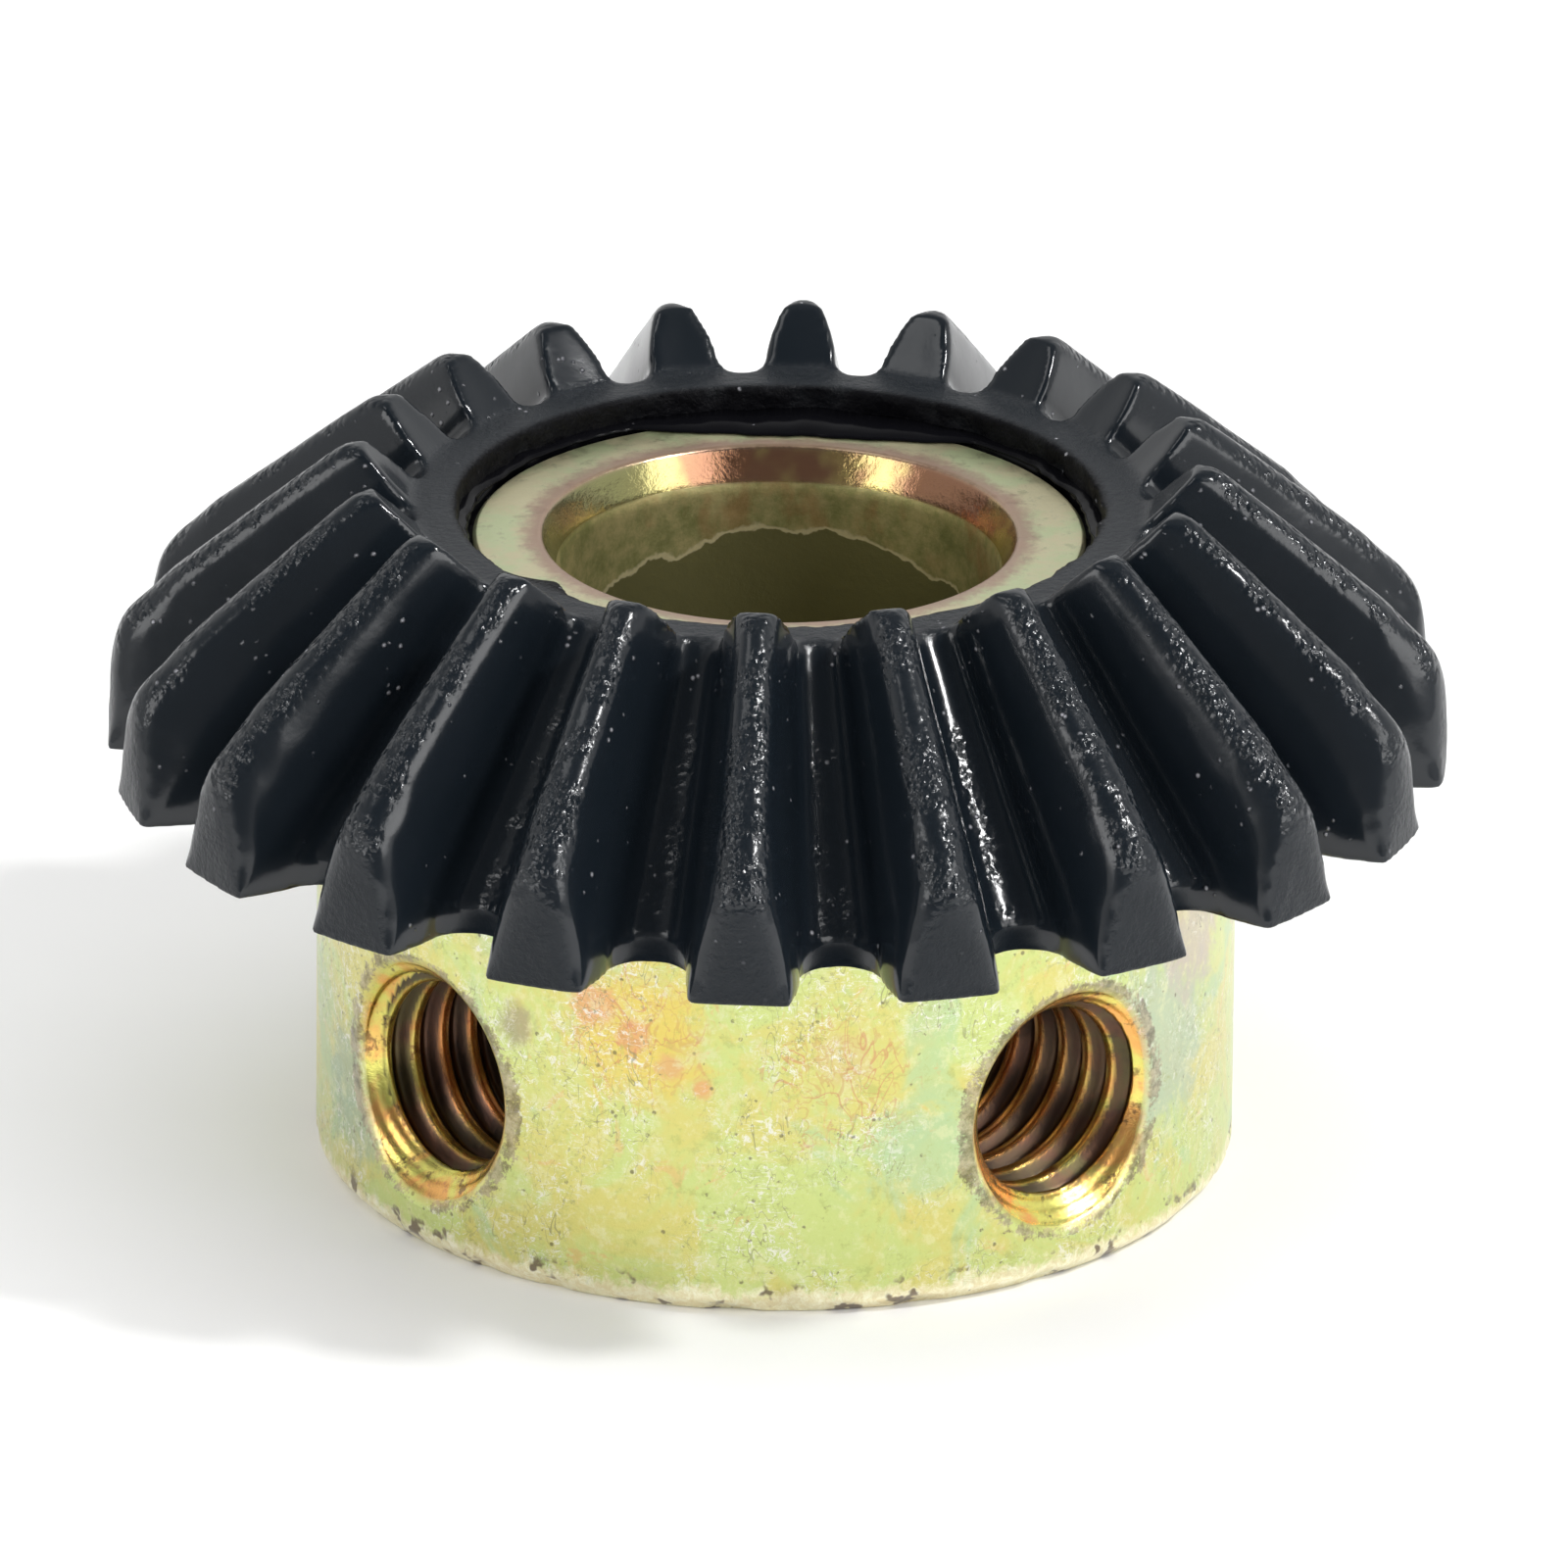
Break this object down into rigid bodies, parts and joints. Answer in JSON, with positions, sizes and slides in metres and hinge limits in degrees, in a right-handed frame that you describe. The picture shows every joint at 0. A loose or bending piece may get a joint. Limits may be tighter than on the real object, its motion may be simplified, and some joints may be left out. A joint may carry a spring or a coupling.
{
  "type": "bevel gear",
  "caption": "Straight bevel gear: dark moulded toothed ring on a yellow-plated steel hub with a plain bore and two set-screw holes at a right angle.",
  "frame": {"origin": "centre of the bore at the hub's back face", "axes": "+Z along the bore, from the hub's back face to the small end of the teeth; the two set-screw holes stand 45 degrees each side of -Y"},
  "size_m": [0.0364, 0.0364, 0.0201],
  "materials": {
    "plated_steel": "turned steel with iridescent yellow zinc chromate plating, worn at the edges",
    "moulded_plastic": "near-black glass-filled moulding, semi-gloss with fine pits"
  },
  "bodies": {
    "root": {"hub": "plated_steel", "toothed_ring": "moulded_plastic"}
  },
  "joints": []
}
